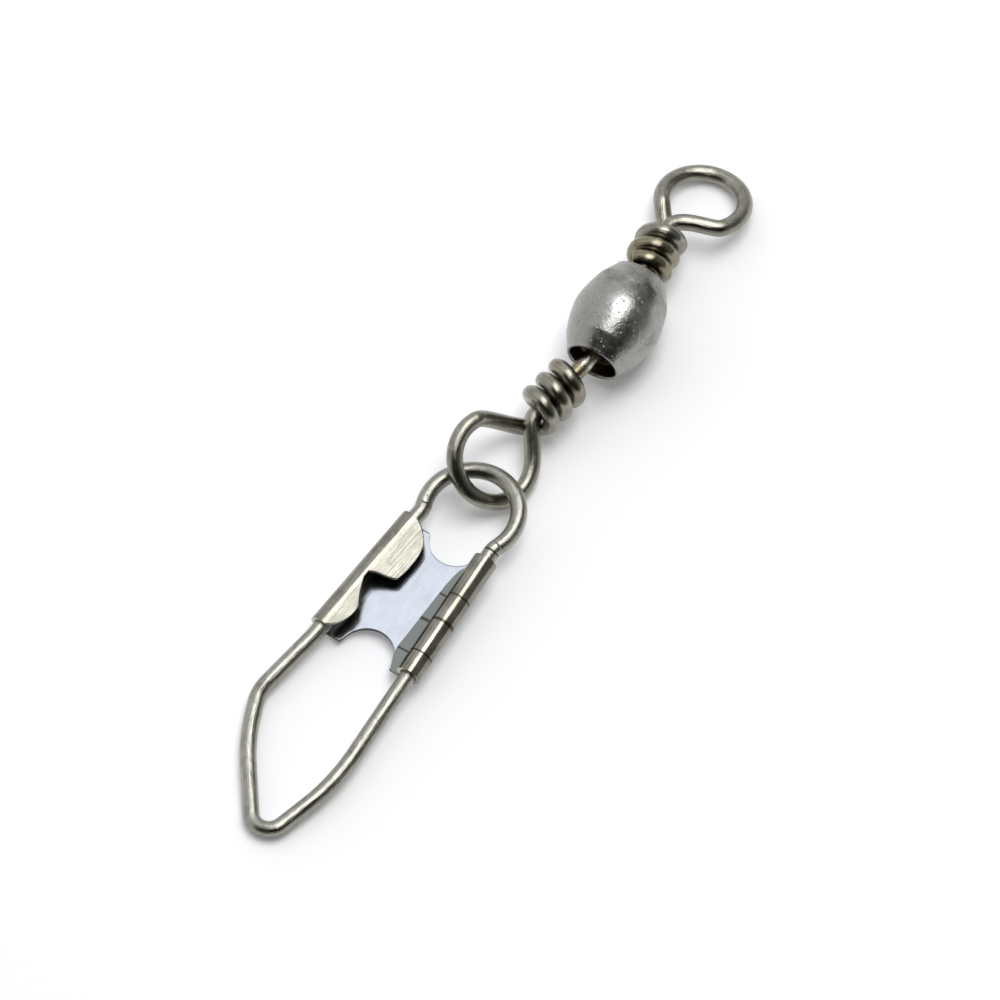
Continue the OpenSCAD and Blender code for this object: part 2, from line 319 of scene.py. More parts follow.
def stepped(tree: Tree, value: Socket, low: Socket | float, high: Socket | float) -> Socket:
    """Adds a smooth step from 0 at one value to 1 at another.

    Args:
        tree: The node tree.
        value: What is measured.
        low: Where the step starts.
        high: Where the step ends.

    Returns:
        The step's mask.
    """
    node = tree.nodes.new("ShaderNodeMapRange")
    node.interpolation_type = "SMOOTHSTEP"
    for name, given in (("Value", value), ("From Min", low), ("From Max", high)):
        feed(tree, node.inputs[name], given)
    return node.outputs["Result"]


def clouded(tree: Tree, **values: Socket | float) -> Socket:
    """Adds a noise texture.

    Args:
        tree: The node tree.
        **values: The texture's inputs, by name.

    Returns:
        Its value.
    """
    node = tree.nodes.new("ShaderNodeTexNoise")
    for name, value in values.items():
        feed(tree, node.inputs[name], value)
    return node.outputs["Fac"]


def axes(tree: Tree, vector: Socket) -> list[Socket]:
    """Splits a vector.

    Args:
        tree: The node tree.
        vector: The vector.

    Returns:
        Its three parts.
    """
    node = tree.nodes.new("ShaderNodeSeparateXYZ")
    feed(tree, node.inputs[0], vector)
    return list(node.outputs)


def mixed(tree: Tree, mask: Socket, a: Socket | Colour, b: Socket | Colour) -> Socket:
    """Mixes two colours, given as sockets or plain colours, by a mask.

    Args:
        tree: The node tree.
        mask: Share of b.
        a: First colour.
        b: Second colour.

    Returns:
        The mixed colour.
    """
    node = tree.nodes.new("ShaderNodeMix")
    node.data_type = "RGBA"
    for index, value in ((0, mask), (6, a), (7, b)):
        feed(tree, node.inputs[index], value)
    return node.outputs[2]


class Effect(Enum):
    """Surface effects that several finishes share, each one shader node group."""

    DRAW_LINES = "draw_lines"
    MOTTLE = "mottle"
    SPECKS = "specks"
    PITS = "pits"
    NICK = "nick"


class Effects:
    """Builds each shared effect once and places it in materials."""

    def __init__(self) -> None:
        """Starts with no group built."""
        self.groups: dict[Effect, Tree] = {}

    def _start(self, effect: Effect, values: dict[str, float]) -> tuple[Tree, bpy.types.bpy_prop_collection, Socket]:
        """Makes an empty group with a vector input, its values and one mask output.

        Args:
            effect: Which effect the group is for.
            values: Names and default values of the float inputs.

        Returns:
            The group, its inputs as sockets to draw from, and the mask to feed.
        """
        tree = bpy.data.node_groups.new(effect.value, "ShaderNodeTree")
        tree.interface.new_socket("Vector", in_out="INPUT", socket_type="NodeSocketVector")
        for name, value in values.items():
            tree.interface.new_socket(name, in_out="INPUT", socket_type="NodeSocketFloat").default_value = value
        tree.interface.new_socket("Mask", in_out="OUTPUT", socket_type="NodeSocketFloat")
        return tree, tree.nodes.new("NodeGroupInput").outputs, tree.nodes.new("NodeGroupOutput").inputs["Mask"]

    def _build(self, effect: Effect) -> Tree:
        """Builds one effect's group.

        Args:
            effect: The effect.

        Returns:
            Its node group.
        """
        if effect is Effect.DRAW_LINES:
            tree, given, mask = self._start(effect, {"Across": 9.0, "Along": 0.5, "Low": 0.35, "High": 0.65})
            x, y, z = axes(tree, given["Vector"])
            join = tree.nodes.new("ShaderNodeCombineXYZ")
            for axis, (part, times) in enumerate(((x, "Across"), (y, "Across"), (z, "Along"))):
                feed(tree, join.inputs[axis], reckon(tree, "MULTIPLY", part, given[times]))
            source = clouded(tree, Vector=join.outputs[0], Scale=1.0, Detail=5.0, Roughness=0.62)
        elif effect is Effect.MOTTLE:
            tree, given, mask = self._start(effect, {"Scale": 1.2, "Warp": 0.6, "Low": 0.38, "High": 0.62})
            where = {"Vector": given["Vector"], "Scale": given["Scale"], "Distortion": given["Warp"]}
            source = clouded(tree, **where, Detail=8.0, Roughness=0.6)
        elif effect is Effect.SPECKS:
            tree, given, mask = self._start(effect, {"Scale": 6.0, "Low": 0.62, "High": 0.7})
            source = clouded(tree, Vector=given["Vector"], Scale=given["Scale"], Detail=3.0, Roughness=0.7)
        elif effect is Effect.NICK:
            tree, given, mask = self._start(effect, {"At": 0.0, "Slant": 0.0, "From": -2.0, "Low": 0.12, "High": 0.04})
            across, _, along = axes(tree, given["Vector"])
            lean = reckon(tree, "MULTIPLY_ADD", across, given["Slant"], given["At"])
            apart = reckon(tree, "ABSOLUTE", reckon(tree, "SUBTRACT", along, lean))
            source = reckon(tree, "ADD", apart, reckon(tree, "LESS_THAN", across, given["From"]))
        else:
            tree, given, mask = self._start(effect, {"Scale": 5.0, "Low": 0.0, "High": 0.22})
            cell = tree.nodes.new("ShaderNodeTexVoronoi")
            feed(tree, cell.inputs["Vector"], given["Vector"])
            feed(tree, cell.inputs["Scale"], given["Scale"])
            source = cell.outputs["Distance"]
        feed(tree, mask, stepped(tree, source, given["Low"], given["High"]))
        return tree

    def place(self, effect: Effect, tree: Tree, vector: Socket, **values: float) -> Socket:
        """Places an effect in a material with its own values.

        Args:
            effect: The effect.
            tree: The material's node tree.
            vector: Coordinates that the effect follows.
            **values: The group's inputs, by name.

        Returns:
            The mask.
        """
        if effect not in self.groups:
            self.groups[effect] = self._build(effect)
        node = tree.nodes.new("ShaderNodeGroup")
        node.node_tree = self.groups[effect]
        tree.links.new(vector, node.inputs["Vector"])
        for name, value in values.items():
            node.inputs[name].default_value = value
        return node.outputs["Mask"]


@dataclass(frozen=True)
class MetalFinish:
    """A plated metal: two base tones, a stain, specks, draw lines, and a roughness that varies.

    Where a mesh's tone rises to 1 the metal turns to its toned colours, and above 1 to its deep colour.
    """

    name: str
    light: Colour
    dark: Colour
    stain: Colour
    toned: Colour
    deep: Colour
    toned_dark: Colour = (0.10, 0.095, 0.08)
    nicks: tuple[tuple[float, float], ...] = ()
    nicks_from: float = -2.0
    nick_colour: Colour = (0.07, 0.06, 0.045)
    # rim: painted shade, a near-black line along the plate's outer edges, where grain's second value is 1.
    rim: Colour | None = None
    streaks: float = 0.6
    rough: tuple[float, float] = (0.18, 0.34)
    mottle_scale: float = 1.1
    stain_from: float = 0.6
    speck_scale: float = 7.0
    speck_from: float = 0.66
    speck_colour: Colour = (0.05, 0.035, 0.025)
    line_across: float = 9.0
    line_along: float = 0.4
    line_bump: float = 0.12
    pit_scale: float = 4.0
    pit_bump: float = 0.05
    micro_scale: float = 22.0
    micro_bump: float = 0.05

    def _bump(self, tree: Tree, height: Socket, strength: float, depth: float, under: Socket | None) -> Socket:
        """Adds a bump over another.

        Args:
            tree: The material's node tree.
            height: The height mask.
            strength: Strength of the bump.
            depth: Depth of the bump, in millimetres.
            under: The normal below it, if any.

        Returns:
            The new normal.
        """
        node = tree.nodes.new("ShaderNodeBump")
        node.inputs["Strength"].default_value = strength
        node.inputs["Distance"].default_value = depth * MM
        tree.links.new(height, node.inputs["Height"])
        if under is not None:
            tree.links.new(under, node.inputs["Normal"])
        return node.outputs["Normal"]

    def build(self, effects: Effects) -> bpy.types.Material:
        """Builds the material.

        Args:
            effects: The shared effects.

        Returns:
            The material.
        """
        made = bpy.data.materials.new(self.name)
        made.use_nodes = True
        tree = made.node_tree
        tree.nodes.clear()
        grain = tree.nodes.new("ShaderNodeAttribute")
        grain.attribute_name = "grain"
        tone = tree.nodes.new("ShaderNodeAttribute")
        tone.attribute_name = "tone"
        where = tree.nodes.new("ShaderNodeTexCoord").outputs["Object"]
        in_mm = tree.nodes.new("ShaderNodeVectorMath")
        in_mm.operation = "SCALE"
        in_mm.inputs["Scale"].default_value = 1 / MM
        tree.links.new(where, in_mm.inputs[0])
        place = in_mm.outputs[0]

        drawn = grain.outputs["Vector"]
        wide, stain_to = self.mottle_scale * 0.53, self.stain_from + 0.12
        clouds = effects.place(Effect.MOTTLE, tree, place, Scale=self.mottle_scale)
        stains = effects.place(Effect.MOTTLE, tree, place, Scale=wide, Low=self.stain_from, High=stain_to)
        lines = effects.place(Effect.DRAW_LINES, tree, drawn, Across=self.line_across, Along=self.line_along)
        speck_to = self.speck_from + 0.06
        specks = effects.place(Effect.SPECKS, tree, place, Scale=self.speck_scale, Low=self.speck_from, High=speck_to)
        pits = effects.place(Effect.PITS, tree, place, Scale=self.pit_scale)
        micro = effects.place(Effect.SPECKS, tree, place, Scale=self.micro_scale, Low=0.3, High=0.7)

        shade = tree.nodes.new("ShaderNodeMix")
        shade.inputs[0].default_value = self.streaks
        tree.links.new(clouds, shade.inputs[2])
        tree.links.new(lines, shade.inputs[3])
        colour = mixed(tree, shade.outputs[0], self.dark, self.light)
        colour = mixed(tree, stains, colour, self.stain)
        toned = mixed(tree, shade.outputs[0], self.toned_dark, self.toned)
        colour = mixed(tree, tone.outputs["Fac"], colour, toned)
        colour = mixed(tree, specks, colour, self.speck_colour)
        colour = mixed(tree, reckon(tree, "SUBTRACT", tone.outputs["Fac"], 1.0), colour, self.deep)
        # Painted shade: a dark line along the plate's outer edges.
        if self.rim is not None:
            colour = mixed(tree, axes(tree, drawn)[1], colour, self.rim)
        nicked = None
        for at, slant in self.nicks:
            nick = effects.place(Effect.NICK, tree, drawn, At=at, Slant=slant, From=self.nicks_from)
            colour = mixed(tree, nick, colour, self.nick_colour)
            nicked = nick if nicked is None else reckon(tree, "MAXIMUM", nicked, nick)

        rough = tree.nodes.new("ShaderNodeMapRange")
        rough.inputs["To Min"].default_value, rough.inputs["To Max"].default_value = self.rough
        half = reckon(tree, "MULTIPLY", clouds, 0.5)
        feed(tree, rough.inputs["Value"], reckon(tree, "MULTIPLY_ADD", lines, 0.5, half))

        normal = self._bump(tree, pits, 1.0, self.pit_bump * 0.05, None)
        normal = self._bump(tree, lines, self.line_bump, 0.02, normal)
        normal = self._bump(tree, micro, self.micro_bump, 0.01, normal)
        if nicked is not None:
            normal = self._bump(tree, nicked, -1.0, 0.03, normal)

        metal = tree.nodes.new("ShaderNodeBsdfPrincipled")
        metal.inputs["Metallic"].default_value = 1.0
        tree.links.new(colour, metal.inputs["Base Color"])
        tree.links.new(rough.outputs["Result"], metal.inputs["Roughness"])
        tree.links.new(normal, metal.inputs["Normal"])
        out = tree.nodes.new("ShaderNodeOutputMaterial")
        tree.links.new(metal.outputs[0], out.inputs["Surface"])
        return made


WIRE = MetalFinish(
    "blackened_wire",
    light=(0.37, 0.36, 0.305),
    dark=(0.20, 0.195, 0.16),
    stain=(0.17, 0.16, 0.125),
    toned=(0.33, 0.29, 0.19),
    toned_dark=(0.16, 0.14, 0.085),
    deep=(0.72, 0.68, 0.58),
    rough=(0.10, 0.20),
    line_bump=0.35,
)
SNAP = MetalFinish(
    "blackened_snap_wire",
    light=(0.40, 0.39, 0.34),
    dark=(0.23, 0.225, 0.19),
    stain=(0.20, 0.19, 0.155),
    toned=(0.30, 0.26, 0.18),
    deep=(0.05, 0.045, 0.035),
    nicks=((20.1, 0.0),),
    rough=(0.12, 0.22),
    line_bump=0.35,
)
BARREL = MetalFinish(
    "satin_barrel",
    light=(0.37, 0.365, 0.345),
    dark=(0.30, 0.295, 0.275),
    stain=(0.24, 0.23, 0.205),
    toned=(0.17, 0.165, 0.145),
    toned_dark=(0.05, 0.047, 0.04),
    # deep: painted shade, near black, inside the barrel's hollow.
    deep=(0.045, 0.035, 0.025),
    rough=(0.20, 0.34),
    mottle_scale=0.8,
    stain_from=0.58,
    speck_scale=3.6,
    speck_from=0.70,
    speck_colour=(0.12, 0.085, 0.06),
    line_across=3.0,
    line_along=1.0,
    line_bump=0.12,
    pit_scale=2.6,
    pit_bump=0.6,
    micro_scale=5.0,
    micro_bump=0.6,
)
SHEET = MetalFinish(
    "sheet_painted_reflection",
    # light, dark and stain: the plate's bluish white, a painted reflection of the bright room, over its real mottle
    # and stains.
    light=(0.64, 0.66, 0.70),
    dark=(0.58, 0.60, 0.635),
    stain=(0.50, 0.51, 0.53),
    # toned, toned_dark and deep: darker painted-shade copies of the same sheet for the rolls, tabs, fold and flap.
    toned=(0.30, 0.285, 0.24),
    toned_dark=(0.17, 0.16, 0.13),
    deep=(0.20, 0.21, 0.19),
    streaks=0.45,
    nicks=((1.5, 0.02), (-0.1, -0.03), (-0.9, 0.03), (-3.6, 0.02)),
    nicks_from=9.4,
    rim=(0.05, 0.05, 0.045),
    rough=(0.09, 0.18),
    mottle_scale=0.6,
    stain_from=0.62,
    speck_from=0.74,
    speck_colour=(0.22, 0.21, 0.18),
    line_across=7.0,
    line_along=0.35,
    line_bump=0.10,
    micro_bump=0.04,
)
# Cut edges: painted shade, near black, where they border the plate and the flap, and a painted highlight, light grey,
# where they border the tabs and rolls.
CUT_EDGE = MetalFinish(
    "cut_edge_painted_glint_and_shade",
    light=(0.10, 0.095, 0.08),
    dark=(0.05, 0.047, 0.04),
    stain=(0.2, 0.18, 0.15),
    toned=(0.62, 0.60, 0.52),
    toned_dark=(0.42, 0.40, 0.33),
    deep=(0.12, 0.12, 0.10),
    rough=(0.28, 0.42),
)


# ---- The swivel's pieces


@dataclass
class Barrel:
    """The hollow barrel with a web and an open mouth at each end."""

    length: float = 7.6
    belly_d: float = 6.54
    ridge_d: float = 5.5
    ridge_at: float = 2.45
    mouth_d: float = 4.1
    lip: float = 0.24
    cup: float = 1.25
    web: float = 0.5
    throat_d: float = 1.7
    hollow_d: float = 4.9
    foot_d: float = 3.3
    crown: float = 1.2
    stain_at: float = 2.3
    stain_w: float = 1.5
    heading: float = 4.2
    rise: float = 2.0
    x: float = 15.65
    y: float = -1.80

    @property
    def pivot(self) -> float:
        """Distance from the middle to the middle of each web."""
        return self.length / 2 - self.cup - self.web / 2

    @property
    def middle(self) -> Vector:
        """The middle of the barrel, which touches the surface at its belly.

        Returns:
            The point in the object's frame.
        """
        bow = (self.belly_d - self.ridge_d) / (2 * self.ridge_at**2)
        a = math.radians(self.rise)
        return Vector((self.x, self.y, self.belly_d / 2 * math.cos(a) + math.sin(a) ** 2 / (4 * bow * math.cos(a))))

    def place(self, p: Vector) -> Vector:
        """Takes a point of the barrel's own frame to the object's frame."""
        return self.middle + aim(self.heading, self.rise, 0) @ p

    def profile(self) -> list[tuple[float, float]]:
        """Draws the closed profile, from the belly round one mouth and through the hollow.

        Returns:
            Distances along the axis and radii.
        """
        end = self.length / 2
        web_out, web_in = end - self.cup, end - self.cup - self.web
        fall = (self.belly_d - self.ridge_d) / 2 / (math.hypot(self.ridge_at, self.crown) - self.crown)
        spots = [self.ridge_at * i / 18 for i in range(1, 18)]
        half = [(x, self.belly_d / 2 - fall * (math.hypot(x, self.crown) - self.crown)) for x in spots]
        edge, lip_r, round_r = self.ridge_d / 2, self.mouth_d / 2, self.lip / 2
        foot_r, throat_r = self.foot_d / 2, self.throat_d / 2
        half += [(self.ridge_at - 0.04, edge + 0.012), (self.ridge_at + 0.02, edge - 0.015)]
        cone = end - round_r - self.ridge_at
        half += [(self.ridge_at + cone * i / 10, edge + (lip_r - edge) * i / 10) for i in range(1, 10)]
        turns = [math.radians(a) for a in range(0, 181, 30)]
        half += [(end - round_r + round_r * math.sin(a), lip_r - round_r + round_r * math.cos(a)) for a in turns]
        half += [(end - self.lip, lip_r - self.lip - 0.03), (web_out + 0.3, foot_r), (web_out + 0.09, foot_r - 0.09)]
        half += [(web_out, foot_r - 0.3), (web_out, throat_r + 0.05), (web_out - 0.05, throat_r)]
        half += [(web_in, throat_r), (web_in, self.hollow_d / 2)]
        return [(0.0, self.belly_d / 2)] + half + [(-x, r) for x, r in reversed(half)]

    def build(self) -> bpy.types.Object:
        """Builds the barrel's mesh.

        Returns:
            The object.
        """
        skin = Skin()

        def wobble(p: Vector) -> float:
            """Gives the small hammered unevenness of the outside."""
            return 0.018 * noise.noise(p * 0.9) + 0.006 * noise.noise(p * 3.1)

        skin.add_lathe(self.profile(), self.place, 144, wobble, closed=True)
        lip_from, cone = self.length / 2 - self.lip, self.length / 2 - self.ridge_at
        for i, p in enumerate(skin.grain):
            r = math.hypot(p.y, p.z)
            band = max(0.0, 1 - abs(p.x - self.stain_at) / self.stain_w) * max(0.0, 0.45 + 0.9 * noise.noise(p * 1.3))
            wall = self.ridge_d / 2 - (self.ridge_d - self.mouth_d) / 2 * (abs(p.x) - self.ridge_at) / cone
            # Inside the hollow past the lip the barrel is painted near black as shade; outside, the stain band tones
            # it.
            in_painted_shade = abs(p.x) < lip_from and r < min(wall, self.ridge_d / 2) - self.lip * 0.7
            skin.tone[i] = 2.0 if in_painted_shade else min(1.0, band)
        return skin.build("barrel_shell")


@dataclass
class WrappedEye:
    """A wire that leaves the barrel as a shank, makes a ring and is wrapped back round its shank."""

    name: str
    heading: float
    rise: float
    roll: float
    neck: float
    inside_d: float
    left: float
    out: float
    bend: float
    ring: tuple[float, float]
    lead: tuple[float, float]
    pull: tuple[float, float]
    dip: float
    cross: float
    pitch: float
    coil: tuple[float, float]
    hand: int
    brass: float
    root: Vector
    wire_d: float = 1.2
    shank_extra: float = 0.02
    wrap_gap: float = 0.06
    head_d: float = 2.3
    head_back: float = 1.6
    head_rim: float = 0.15
    bare_from: float = 2.2
    overlap: float = 0.7
    shank_short: float = 0.4

    def ring_point(self, angle: float) -> Vector:
        """Gives a point of the ring's middle line.

        Args:
            angle: Degrees round the ring, from the barrel's side.

        Returns:
            The point in the eye's own frame.
        """
        a, b = math.radians(angle), math.radians(self.bend)
        r = (self.inside_d + self.wire_d) / 2
        out = self.out - r * math.cos(a)
        return Vector((self.neck + out * math.cos(b), self.left + r * math.sin(a), -out * math.sin(b)))

    def coil_point(self, angle: float) -> Vector:
        """Gives a point of the wrapped turns' middle line.

        Args:
            angle: Degrees round the shank, from below.

        Returns:
            The point in the eye's own frame.
        """
        a = math.radians(angle)
        r = self.wire_d + self.wrap_gap
        return Vector((self.neck - self.cross - self.pitch * angle / 360, r * math.sin(a), -r * math.cos(a)))

    def route(self) -> list[Vector]:
        """Draws the wire's middle line in the eye's own frame.

        Returns:
            Evenly spaced points.
        """
        (start, stop), (coil_from, coil_to) = self.ring, self.coil
        first, last = self.ring_point(start), self.ring_point(stop)
        first_way = (self.ring_point(start + 0.5) - first).normalized()
        last_way = (self.ring_point(stop + 0.5) - last).normalized()
        coil = self.coil_point(coil_from)
        coil_way = (self.coil_point(coil_from + 1) - coil).normalized()
        root, ahead, under = Vector((self.neck, 0, 0)), Vector((1, 0, 0)), Vector((0, 0, -self.dip))
        points = [root - self.overlap * ahead]
        points += bezier(root, root + self.lead[0] * ahead, first - self.lead[1] * first_way, first, 24)
        points += [self.ring_point(start + (stop - start) * i / 140) for i in range(1, 140)]
        points += bezier(last, last + self.pull[0] * last_way + under, coil - self.pull[1] * coil_way, coil, 28)
        steps = math.ceil((coil_to - coil_from) / 6)
        points += [self.coil_point(coil_from + (coil_to - coil_from) * i / steps) for i in range(1, steps + 1)]
        return evened([Vector((p.x, self.hand * p.y, p.z)) for p in points], 0.11)

    def place(self, p: Vector) -> Vector:
        """Takes a point of the eye's own frame to the object's frame."""
        return self.root + aim(self.heading, self.rise, self.roll) @ p

    def build(self) -> bpy.types.Object:
        """Builds the eye's wire, shank and head as one mesh.

        Returns:
            The object.
        """
        skin = Skin()
        r = self.wire_d / 2

        def radius(s: float, a: float) -> float:
            """Gives the drawn wire's slightly uneven radius."""
            return r + 0.006 * noise.noise(Vector((math.cos(a), math.sin(a), s * 0.7)))

        def tone(share: float) -> float:
            """Gives how brassy the wire is, from its root to the last turn."""
            return max(0.0, min(1.0, (share - 0.62) / 0.2)) * self.brass

        skin.add_tube([self.place(p) for p in self.route()], radius, 30, tone, (0.02, 0.2))
        first = len(skin.points)
        end = self.neck - self.shank_short
        spans = [(end * (1 - i / 40) - self.head_back * i / 40, r + self.shank_extra / 2) for i in range(40)]
        ball, turns = self.head_d / 2, [math.radians(a) for a in range(34, 96, 6)]
        head = [(-self.head_back + ball * math.cos(a), ball * math.sin(a)) for a in turns]
        skin.add_lathe([(end, 0.001)] + spans + head + [(-self.head_back - self.head_rim, 0.001)], self.place, 40)
        for i in range(first, len(skin.points)):
            skin.tone[i] = 1.0 + max(0.0, min(1.0, (self.bare_from - skin.grain[i].x) / 0.3))
        return skin.build(self.name + "_wire")


@dataclass
class SnapFrame:
    """The snap's own frame: X to the right, Y towards the small loop, the wire's middle at Z 0."""

    origin: Vector
    heading: float = -3.1
    rise: float = 3.3
    lean: float = 2.8

    def place(self, p: Vector) -> Vector:
        """Takes a point of the snap's own frame to the object's frame."""
        turn = (
            Matrix.Rotation(math.radians(self.heading - 90), 3, "Z")
            @ Matrix.Rotation(math.radians(self.rise), 3, "X")
            @ Matrix.Rotation(math.radians(-self.lean), 3, "Y")
        )
        return self.origin + turn @ p


@dataclass
class Legs:
    """Where the snap's two legs run, which the clasp follows."""

    half: float = 3.4
    splay: float = 3.3

    def x(self, y: float) -> float:
        """Gives a leg's distance from the middle at a height."""
        return self.half - math.tan(math.radians(self.splay)) * y


@dataclass
class SnapWire:
    """The bent wire: small loop, pinched shoulders, legs, knee and pointed large loop."""

    frame: SnapFrame
    legs: Legs
    wire_d: float = 1.2
    loop_r: float = 3.4
    flare: float = 25.0
    top: float = 11.45
    bend_at: float = 14.9
    tip: tuple[float, float] = (2.3, -22.15)
    bow: tuple[float, float] = (-3.0, -15.3)
    knee: tuple[float, float] = (-4.5, -11.7)
    tip_r: float = 1.3
    knee_r: float = 3.2
    bow_r: float = 16.0
    pinch_r: float = 1.5
    exit_y: float = -6.0
    exit_r: float = 6.0
    upper_end: float = 1.3
    lower_end: float = -1.8

    def corners(self) -> list[tuple[Vector, float]]:
        """Lists the corners of the route with the radius that rounds each.

        Returns:
            Corners and radii, from the end under the upper tab round to the other end.
        """
        x = self.legs.x
        flare, splay = math.tan(math.radians(self.flare)), math.tan(math.radians(self.legs.splay))
        from_x = self.loop_r * math.cos(math.radians(self.flare))
        from_y = self.top - self.loop_r - self.loop_r * math.sin(math.radians(self.flare))
        pinch = (from_x - flare * from_y - self.legs.half) / (-splay - flare)
        wide = self.loop_r * math.tan(math.radians((90 + self.flare) / 2))
        flat = [
            (-x(self.upper_end), self.upper_end, 0.0),
            (-x(pinch), pinch, self.pinch_r),
            (-wide, self.top, self.loop_r),
            (wide, self.top, self.loop_r),
            (x(pinch), pinch, self.pinch_r),
            (x(-self.bend_at), -self.bend_at, self.bow_r),
            (*self.tip, self.tip_r),
            (*self.bow, self.bow_r),
            (*self.knee, self.knee_r),
            (-x(self.exit_y), self.exit_y, self.exit_r),
            (-x(self.lower_end), self.lower_end, 0.0),
        ]
        return [(Vector((a, b)), r) for a, b, r in flat]

    def route(self) -> list[Vector]:
        """Draws the wire's middle line in the snap's frame.

        Returns:
            Evenly spaced points.
        """
        corners = self.corners()
        points = [corners[0][0]]
        for (p, _), (q, r), (n, _) in zip(corners, corners[1:], corners[2:]):
            a, b = (q - p).normalized(), (n - q).normalized()
            turn = math.atan2(a.x * b.y - a.y * b.x, a.dot(b))
            cut = q - a * r * math.tan(abs(turn) / 2)
            middle = cut + math.copysign(r, turn) * Vector((-a.y, a.x))
            arm = cut - middle
            steps = max(2, math.ceil(math.degrees(abs(turn)) / 3))
            points += [middle + Matrix.Rotation(turn * k / steps, 2) @ arm for k in range(steps + 1)]
        points.append(corners[-1][0])
        return evened([Vector((p.x, p.y, 0)) for p in points], 0.14)

    def build(self) -> bpy.types.Object:
        """Builds the snap's wire.

        Returns:
            The object.
        """
        skin = Skin()
        r = self.wire_d / 2

        def radius(s: float, a: float) -> float:
            """Gives the drawn wire's slightly uneven radius."""
            return r + 0.006 * noise.noise(Vector((math.cos(a), math.sin(a), s * 0.6 + 40)))

        skin.add_tube([self.frame.place(p) for p in self.route()], radius, 30, lambda s: 0.0, (0.15, 0.15))
        return skin.build("snap_wire_bent")


@dataclass
class FoldedClasp:
    """One folded sheet: two tabs, open fold, plate with a hollow in each edge, closed roll, flap."""

    frame: SnapFrame
    legs: Legs
    wire_r: float = 0.6
    gap: float = 0.03
    sheet: float = 0.28
    top: float = 5.4
    bottom: float = 5.1
    notch_top: float = 0.05
    notch_bottom: float = -0.55
    tab_drop: float = 20.0
    upper_reach: float = 2.0
    lower_reach: float = 1.08
    flap_w: float = 1.97
    flap_from: float = 192.0
    flap_shoulder: float = 0.5
    flap_foot: float = -0.08
    flap_turn: Outline = ((-0.772, -0.26), (-0.80, -0.38), (-0.86, -0.45))
    # Tones of the folded parts: painted shade that darkens the sheet on the tabs, rolls, fold and flap, and painted
    # highlight or shade on their cut edges.
    tab_painted_shading: float = 1.3
    roll_painted_shading: float = 1.0
    turn_painted_shading: float = 1.6
    flap_painted_shading: float = 2.0
    tab_columns: int = 16
    bands: tuple[int, int, int] = (14, 3, 16)
    edge_row: float = 0.13
    edge_round: float = 0.05
    top_hollow: tuple[float, float, float] = (0.3, 3.92, 2.35)
    bottom_hollow: tuple[float, float, float] = (-0.06, -2.98, 1.9)
    upper_shape: Outline = (
        *((0, 1), (0.36, 0.95), (0.78, 0.81), (0.96, 0.64), (1, 0.4)),
        *((0.94, 0.18), (0.8, 0.13), (0.5, 0.085), (0.27, 0.055), (0, 0)),
    )
    lower_shape: Outline = ((0, 1), (0.49, 0.75), (0.92, 0.58), (1, 0.42), (0.7, 0.17), (0.15, 0.01), (0, 0))
    flap_shape: Outline = (
        *((0.3, 1), (0.6, 0.934), (0.72, 0.865), (0.8, 0.76), (0.87, 0.57)),
        *((0.95, 0.33), (1, 0.17), (0.87, 0.07), (0.72, 0.01), (0.3, 0)),
    )

    @property
    def mid_r(self) -> float:
        """Radius of the sheet's middle where it is rolled."""
        return self.wire_r + self.gap + self.sheet / 2

    def left(self, x: float, y: float, z: float) -> Vector:
        """Takes a point of the left leg's frame to the snap's frame."""
        turn = Matrix.Rotation(math.radians(-self.legs.splay), 3, "Z")
        return Vector((-self.legs.half, 0, 0)) + turn @ Vector((x, y, z))

    def right(self, x: float, y: float, z: float) -> Vector:
        """Takes a point of the right leg's frame to the snap's frame."""
        turn = Matrix.Rotation(math.radians(self.legs.splay), 3, "Z")
        return Vector((self.legs.half, 0, 0)) + turn @ Vector((x, y, z))

    @staticmethod
    def along(leg: Callable[[float, float, float], Vector], x: float, z: float) -> Callable[[float], Vector]:
        """Follows a leg's length at one place of its section."""
        return lambda y: leg(x, y, z)

    def across(self, share: float) -> Callable[[float], Vector]:
        """Follows the plate's height at a share of its width."""
        return lambda y: self.left(0, y, -self.mid_r).lerp(self.right(0, y, -self.mid_r), share)

    @staticmethod
    def extent(shape: Sequence[tuple[float, float]], share: float) -> tuple[float, float]:
        """Reads how high a tab's outline reaches at a share of its reach.

        Args:
            shape: The outline as shares of reach and height, from its top round to its foot.
            share: Share of the reach.

        Returns:
            The lowest and the highest share of the height.
        """
        line = catmull(shape, 10)
        far = max(range(len(line)), key=lambda i: line[i][0])
        share = min(share, line[far][0] - 1e-6)

        def at(run: Sequence[tuple[float, float]]) -> float:
            """Reads the height where a run of the outline passes the share.

            Args:
                run: The run, outward.

            Returns:
                The height.
            """
            for (a, p), (b, q) in zip(run, run[1:]):
                if a <= share <= b:
                    return p + (q - p) * (share - a) / (b - a) if b > a else p
            return run[-1][1]

        return at(list(reversed(line[far:]))), at(line[: far + 1])

    def columns(self) -> list[tuple[Callable[[float], Vector], tuple[float, ...], float, float]]:
        """Lays out the sheet's columns, from the tabs' edge over the left leg to the flap's edge.

        Returns:
            For each column, its point at a height, its band edges, its developed width and its tone.
        """
        made = []
        r, full = self.mid_r, (-self.bottom, self.notch_bottom, self.notch_top, self.top)
        drop = math.radians(self.tab_drop)
        widest = max(self.upper_reach, self.lower_reach)
        for i in range(self.tab_columns, 0, -1):
            share = math.sin(math.pi / 2 * i / self.tab_columns)
            low, high = self.extent(self.lower_shape, share)
            up_low, up_high = self.extent(self.upper_shape, share)
            edges = (
                -self.bottom + low * (self.notch_bottom + self.bottom),
                -self.bottom + high * (self.notch_bottom + self.bottom),
                self.notch_top + up_low * (self.top - self.notch_top),
                self.notch_top + up_high * (self.top - self.notch_top),
            )

